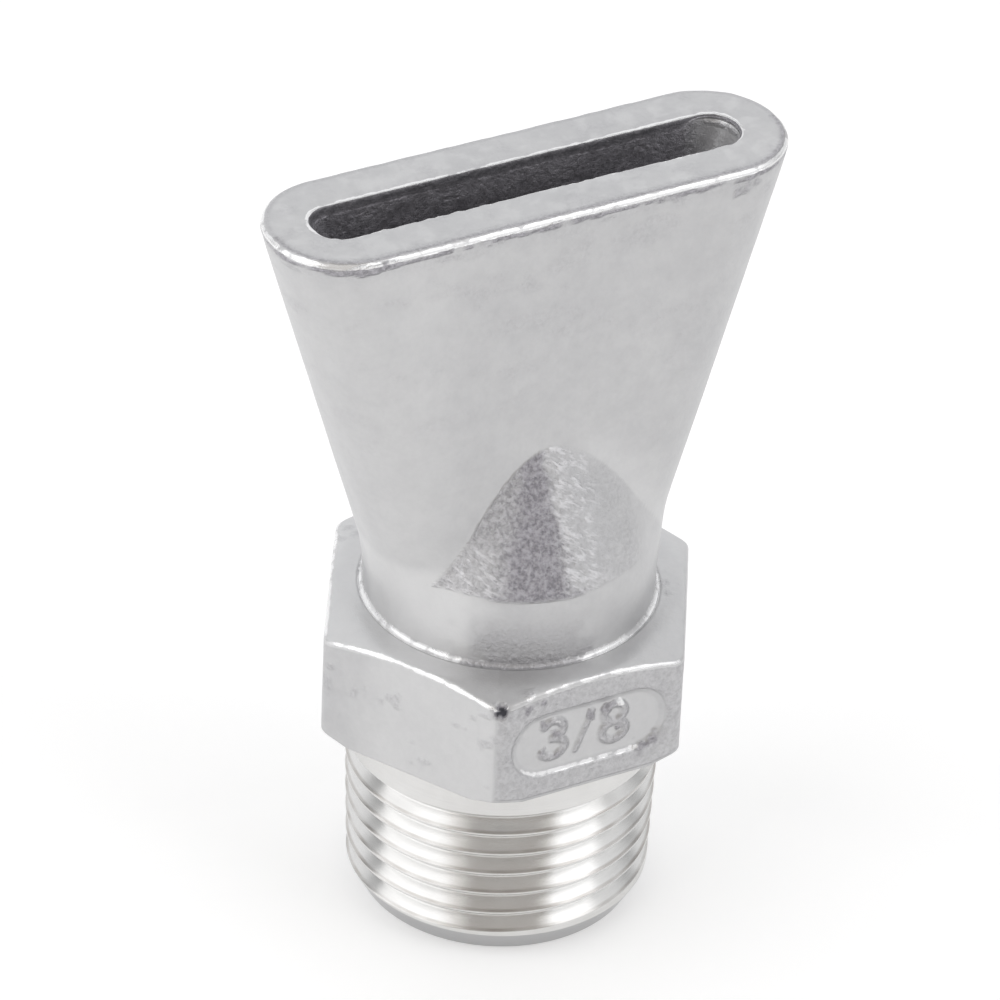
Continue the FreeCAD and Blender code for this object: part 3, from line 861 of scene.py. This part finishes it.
def make_thread():
    angle = np.arange(THREAD_COLUMNS) * 2 * math.pi / THREAD_COLUMNS + FRONT - math.pi
    end_radius = crest_radius(0) - LEAD_IN_DEPTH
    lead_slope = (crest_radius(LEAD_IN_LENGTH) - end_radius) / LEAD_IN_LENGTH
    points = thread_rows(angle, end_radius, lead_slope)
    level = points[..., 2]
    off_axis = np.hypot(points[..., 0], points[..., 1])
    off_lead_in = np.abs(off_axis - (end_radius + level * lead_slope))
    # The lead-in chamfer is painted darker as shade.
    chamfer = smooth_step(0.06, 0.02, off_lead_in) * (level < LEAD_IN_LENGTH)
    outside = off_axis > BORE_RADIUS + 0.6
    # A thin dark line above each crest: partly dirt, partly painted shade.
    grime_and_shade = crest_line(level, angle[None, :]) * outside * (1 - chamfer)
    grime_and_shade = grime_and_shade * (0.75 + 0.5 * noise(points, 0.8, seed=27))
    return ring_object("nozzle_thread", points, {"chamfer": chamfer, "grime_and_shade": grime_and_shade})


# Materials

class Nodes:
    """Short calls for building the node tree of a material or a world."""

    def __init__(self, owner, output):
        self.owner = owner
        owner.use_nodes = True
        self.tree = owner.node_tree
        self.tree.nodes.clear()
        self.output = self.tree.nodes.new(output)

    def add(self, kind, inputs=None, **settings):
        node = self.tree.nodes.new("ShaderNode" + kind)
        for key, value in settings.items():
            setattr(node, key, value)
        for key, value in (inputs or {}).items():
            self.feed(node.inputs[key], value)
        return node

    def feed(self, socket, value):
        if isinstance(value, bpy.types.NodeSocket):
            self.tree.links.new(value, socket)
        else:
            socket.default_value = value

    def math(self, operation, a, b=0.0, clamp=False):
        node = self.add("Math", {0: a, 1: b}, operation=operation, use_clamp=clamp)
        return node.outputs[0]

    def ramp(self, value, low, high, out_low=0.0, out_high=1.0):
        node = self.add("MapRange", {0: value, 1: low, 2: high, 3: out_low, 4: out_high})
        return node.outputs[0]

    def mix_colour(self, share, a, b):
        node = self.add("Mix", {0: share, 6: a, 7: b}, data_type="RGBA")
        return node.outputs[2]

    def noise(self, vector, scale, detail=2.0, roughness=0.5):
        inputs = {"Vector": vector, "Scale": scale, "Detail": detail, "Roughness": roughness}
        return self.add("TexNoise", inputs).outputs[0]

    def attribute(self, name):
        return self.add("Attribute", attribute_name=name).outputs["Fac"]

    def slanted_millimetres(self):
        """Coordinates for streaks that run round the casting and sink towards +X."""
        axes = self.add("SeparateXYZ", {0: self.millimetres((1.7, 1.7, 4.0))}).outputs
        sunk = self.math("ADD", axes["Z"], self.math("MULTIPLY", axes["X"], 1.3))
        return self.add("CombineXYZ", {0: axes["X"], 1: axes["Y"], 2: sunk}).outputs[0]

    def millimetres(self, stretch=(1.0, 1.0, 1.0)):
        """Object coordinates in millimetres, squeezed along the axes where stretch says."""
        place = self.add("TexCoord").outputs["Object"]
        scale = tuple(s / MM for s in stretch)
        return self.add("Mapping", {"Vector": place, "Scale": scale}).outputs[0]

    def finish(self, shader):
        self.tree.links.new(shader, self.output.inputs["Surface"])
        return self.owner


def material_nodes(name):
    return Nodes(bpy.data.materials.new(name), "ShaderNodeOutputMaterial")


def cast_colour(n, uneven, wrinkle, lines, edge):
    """Clean metal and skin as cast, lightened by polish and painted light and darkened by stains and
    painted shade, black painted shade, bright streaks, and bright edges partly rubbed and partly painted
    highlights, by their masks.
    """
    rough, dark, polished = n.attribute("rough"), n.attribute("dark"), n.attribute("polished")
    clean = n.mix_colour(uneven, *CLEAN_STEEL)
    # Lightened by polish and painted light.
    clean = n.mix_colour(n.math("MULTIPLY", polished, 0.5), clean, POLISHED_AND_PAINTED_LIGHT)
    clean = n.mix_colour(n.math("MULTIPLY", dark, 0.5, clamp=True), clean, STAINED_AND_SHADED_STEEL)
    skin = n.mix_colour(n.ramp(wrinkle, 0.35, 0.63), *CAST_SKIN)
    darker_skin = n.mix_colour(n.ramp(wrinkle, 0.35, 0.63), *DARK_SKIN_AND_SHADE)
    # Darker skin: partly stains, partly painted shade.
    skin = n.mix_colour(n.math("MULTIPLY", dark, 0.75, clamp=True), skin, darker_skin)
    # Black painted shade where the dark mask passes 1.3: in the passage, the slot and the knock.
    skin = n.mix_colour(n.ramp(dark, 1.3, 1.9), skin, PAINTED_DEEP_SHADE)
    colour = n.mix_colour(rough, clean, skin)
    colour = n.mix_colour(n.math("MULTIPLY", lines, 0.6), colour, STREAK)
    # Bright edges: partly rubbed steel, partly painted highlights on edges, fillet and rims.
    return n.mix_colour(edge, colour, RUBBED_EDGE_AND_HIGHLIGHT)


def cast_relief(n, mottle, grain, fine, wrinkle, lines):
    """A bump in millimetres: fine everywhere, wrinkled where the skin is still as cast."""
    rough, dark = n.attribute("rough"), n.attribute("dark")
    raised = n.math("MULTIPLY", wrinkle, rough)
    raised = n.math("MULTIPLY", raised, n.ramp(dark, 1.1, 1.4, 0.2, 0.07))
    raised = n.math("ADD", raised, n.math("MULTIPLY", lines, 0.03))
    height = n.math("ADD", n.math("MULTIPLY", fine, 0.006), n.math("MULTIPLY", grain, 0.008))
    height = n.math("ADD", height, n.math("MULTIPLY", mottle, 0.014))
    height = n.math("ADD", height, raised)
    return n.add("Bump", {"Strength": 1.0, "Distance": MM, "Height": height}).outputs[0]


def cast_steel():
    """Investment-cast stainless steel, with polish and painted light, bright edges partly rubbed and
    partly painted highlights, and raw skin in the hollows with painted shade.
    """
    n = material_nodes("cast_stainless_steel")
    place = n.millimetres()
    cloud = n.noise(place, 0.22, 4.0, 0.6)
    mottle = n.noise(place, 1.1, 3.0, 0.6)
    grain = n.noise(place, 3.6, 2.0, 0.6)
    fine = n.noise(place, 9.0, 2.0, 0.5)
    wrinkle = n.noise(place, 4.2, 2.5, 0.6)
    tear = n.noise(place, 2.8, 2.0)
    slanted = n.noise(n.slanted_millimetres(), 1.0, 2.5, 0.55)
    lines = n.math("MULTIPLY", n.ramp(slanted, 0.48, 0.64), n.attribute("streaks"))

    uneven = n.math("ADD", n.ramp(cloud, 0.35, 0.65, 0.0, 0.5), n.ramp(mottle, 0.3, 0.7, 0.0, 0.35))
    uneven = n.math("ADD", uneven, n.ramp(grain, 0.3, 0.7, 0.0, 0.2))
    bright_edge = n.math("MULTIPLY", n.attribute("bright_edge"), 1.3)
    edge = n.ramp(n.math("ADD", bright_edge, n.math("MULTIPLY", tear, 1.4)), 1.15, 1.45)
    shine = n.ramp(cloud, 0.3, 0.7, 0.30, 0.42)
    shine = n.math("ADD", shine, n.math("MULTIPLY", n.attribute("rough"), 0.14))
    shine = n.math("SUBTRACT", shine, n.math("MULTIPLY", edge, 0.1))
    steel = n.add("BsdfPrincipled", {
        "Base Color": cast_colour(n, uneven, wrinkle, lines, edge),
        "Metallic": 0.65,
        "Roughness": shine,
        "Normal": cast_relief(n, mottle, grain, fine, wrinkle, lines),
    })
    return n.finish(steel.outputs[0])


def turned_steel():
    """The machined neck and thread: brighter, with fine marks round the axis, painted shade on the lead-in
    chamfer, and a dark line above each crest, partly dirt and partly painted shade.
    """
    n = material_nodes("turned_stainless_steel")
    marks = n.noise(n.millimetres((0.15, 0.15, 9.0)), 1.0, 2.0)
    stains = n.ramp(n.noise(n.millimetres(), 0.5, 3.0), 0.4, 0.65)
    colour = n.mix_colour(marks, *TURNED_STEEL)
    colour = n.mix_colour(n.math("MULTIPLY", stains, 0.15), colour, TURNED_STAIN)
    # Painted shade on the lead-in chamfer.
    colour = n.mix_colour(n.attribute("chamfer"), colour, LEAD_IN_SHADE)
    # Dirt and painted shade above the crests.
    colour = n.mix_colour(n.math("MULTIPLY", n.attribute("grime_and_shade"), 0.55), colour, THREAD_GRIME_AND_SHADE)
    height = n.math("MULTIPLY", marks, 0.002)
    steel = n.add("BsdfPrincipled", {
        "Base Color": colour,
        "Metallic": 1.0,
        "Roughness": 0.27,
        "Anisotropic": 0.93,
        "Anisotropic Rotation": 0.25,
        "Normal": n.add("Bump", {"Strength": 1.0, "Distance": MM, "Height": height}).outputs[0],
        "Tangent": n.add("Tangent", direction_type="RADIAL", axis="Z").outputs[0],
    })
    return n.finish(steel.outputs[0])


# Studio

def seen_directly(n):
    """1 for rays that show the background: from the camera, or by gloss or glass."""
    path = n.add("LightPath")
    rays = n.math("MAXIMUM", path.outputs["Is Camera Ray"], path.outputs["Is Glossy Ray"])
    return n.math("MAXIMUM", rays, path.outputs["Is Transmission Ray"])


def make_floor():
    n = material_nodes("floor_white")
    diffuse = n.add("BsdfDiffuse", {"Color": (0.82, 0.82, 0.82, 1)})
    strength = n.math("MULTIPLY", seen_directly(n), FLOOR_GLOW)
    glow = n.add("Emission", {"Color": (1, 1, 1, 1), "Strength": strength})
    shader = n.add("AddShader", {0: diffuse.outputs[0], 1: glow.outputs[0]})
    material = n.finish(shader.outputs[0])
    size, drop = 3.0, 0.00005
    mesh = bpy.data.meshes.new("floor")
    corners = [(-size, -size, -drop), (size, -size, -drop), (size, size, -drop), (-size, size, -drop)]
    mesh.from_pydata(corners, [], [(0, 1, 2, 3)])
    mesh.materials.append(material)
    floor = bpy.data.objects.new("floor", mesh)
    bpy.context.scene.collection.objects.link(floor)


def room_colour(n, azimuth):
    """The room's light by direction round the axis, dim in the narrow gaps of ROOM_LEVELS."""
    levels = n.add("ValToRGB", {"Fac": n.ramp(azimuth, -180.0, 180.0)})
    stops = levels.color_ramp.elements
    stops.remove(stops[1])
    for index, (degrees, level) in enumerate(ROOM_LEVELS):
        place = degrees / 360 + 0.5
        stop = stops.new(place) if index else stops[0]
        stop.position = place
        stop.color = (level * 0.985, level * 0.99, level, 1)
    return levels.outputs["Color"]


def room_dimming(n, azimuth, height):
    """How far the room is dimmed low on the right, and half-way up behind the left softbox."""
    to_right = n.math("MULTIPLY", n.ramp(azimuth, 66, 78), n.ramp(azimuth, 150, 165, 1.0, 0.0))
    low_wall = n.math("MULTIPLY", to_right, n.ramp(height, 0.16, 0.36, 1.0, 0.0))
    to_left = n.math("MULTIPLY", n.ramp(azimuth, -101, -97), n.ramp(azimuth, -42, -32, 1.0, 0.0))
    half_way_up = n.math("MULTIPLY", n.ramp(height, 0.2, 0.3), n.ramp(height, 0.72, 0.85, 1.0, 0.0))
    behind_box = n.math("MULTIPLY", to_left, half_way_up)
    return n.math("ADD", n.math("MULTIPLY", low_wall, 0.28), n.math("MULTIPLY", behind_box, 0.6))


def make_world():
    """A white studio with a gap overhead and on the camera's side, and narrow gaps by the softboxes."""
    n = Nodes(bpy.data.worlds.new("studio"), "ShaderNodeOutputWorld")
    ray = n.add("TexCoord").outputs["Generated"]
    front = (math.cos(FRONT), math.sin(FRONT), 0.0)
    side = (-math.sin(FRONT), math.cos(FRONT), 0.0)
    ahead = n.add("VectorMath", {0: ray, 1: front}, operation="DOT_PRODUCT").outputs["Value"]
    aside = n.add("VectorMath", {0: ray, 1: side}, operation="DOT_PRODUCT").outputs["Value"]
    height = n.add("SeparateXYZ", {0: ray}).outputs["Z"]
    azimuth = n.math("DEGREES", n.math("ARCTAN2", aside, ahead))
    spread = n.math("MULTIPLY", n.math("MAXIMUM", ahead, 0.0), 0.55)
    off_middle = n.math("SUBTRACT", n.math("ABSOLUTE", aside), spread)
    gap = n.math("MULTIPLY", n.ramp(off_middle, 0.18, 0.24, 1.0, 0.0), n.ramp(ahead, -0.35, -0.2))
    warm = (GAP_LIGHT, GAP_LIGHT * 0.95, GAP_LIGHT * 0.9, 1)
    cool = (GAP_LIGHT * 0.98, GAP_LIGHT * 0.98, GAP_LIGHT, 1)
    dim = n.mix_colour(n.ramp(ahead, 0.0, 0.25), cool, warm)
    dimming = room_dimming(n, azimuth, height)
    walls = n.mix_colour(dimming, room_colour(n, azimuth), (0, 0, 0, 1))
    room = n.mix_colour(gap, walls, dim)
    path = n.add("LightPath")
    colour = n.mix_colour(path.outputs["Is Camera Ray"], room, (1, 1, 1, 1))
    background = n.add("Background", {"Color": colour, "Strength": 1.0})
    bpy.context.scene.world = n.finish(background.outputs[0])


def area_light(name, place, size, power):
    light = bpy.data.lights.new(name, "AREA")
    light.shape = "RECTANGLE"
    light.size, light.size_y = size
    light.energy = power
    lamp = bpy.data.objects.new(name, light)
    lamp.location = place
    way = Vector(SOFTBOX_AIM) - Vector(place)
    lamp.rotation_euler = way.to_track_quat("-Z", "Y").to_euler()
    bpy.context.scene.collection.objects.link(lamp)


def place_softboxes():
    """A large softbox to the camera's left, about 35 degrees up, and a weaker, higher one on its right."""
    front = Vector((math.cos(FRONT), math.sin(FRONT), 0))
    side = Vector((-math.sin(FRONT), math.cos(FRONT), 0))
    up = Vector((0, 0, 1))
    left = (front * 0.33 - side * 0.76 + up * 0.56) * 0.8
    right = (front * 0.30 + side * 0.62 + up * 0.72) * 0.8
    area_light("left_softbox", left, (0.86, 0.74), 2.25)
    area_light("right_softbox", right, (0.40, 0.45), 0.6)


def make_camera():
    azimuth, elevation, roll = (math.radians(a) for a in
                                (CAMERA_AZIMUTH, CAMERA_ELEVATION, CAMERA_ROLL))
    back = Vector((math.sin(azimuth) * math.cos(elevation),
                   -math.cos(azimuth) * math.cos(elevation), math.sin(elevation)))
    level_right = Vector((math.cos(azimuth), math.sin(azimuth), 0))
    level_up = back.cross(level_right)
    right = math.cos(roll) * level_right + math.sin(roll) * level_up
    up = math.cos(roll) * level_up - math.sin(roll) * level_right
    aim = Vector((0, 0, CAMERA_TARGET)) + right * CAMERA_OFFSET[0] + up * CAMERA_OFFSET[1]
    place = (aim + back * CAMERA_DISTANCE) * MM
    data = bpy.data.cameras.new("camera")
    data.sensor_width = 36
    data.lens = CAMERA_LENS
    data.clip_start = 0.01
    camera = bpy.data.objects.new("camera", data)
    axes = Matrix((right, up, back)).transposed().to_4x4()
    camera.matrix_world = Matrix.Translation(place) @ axes
    bpy.context.scene.collection.objects.link(camera)
    bpy.context.scene.camera = camera


fan, hexagon, thread = make_fan(), make_hexagon(), make_thread()
cast_material = cast_steel()
fan.data.materials.append(cast_material)
hexagon.data.materials.append(cast_material)
thread.data.materials.append(turned_steel())

make_floor()
make_world()
place_softboxes()
make_camera()
bpy.context.scene.view_settings.view_transform = "Standard"
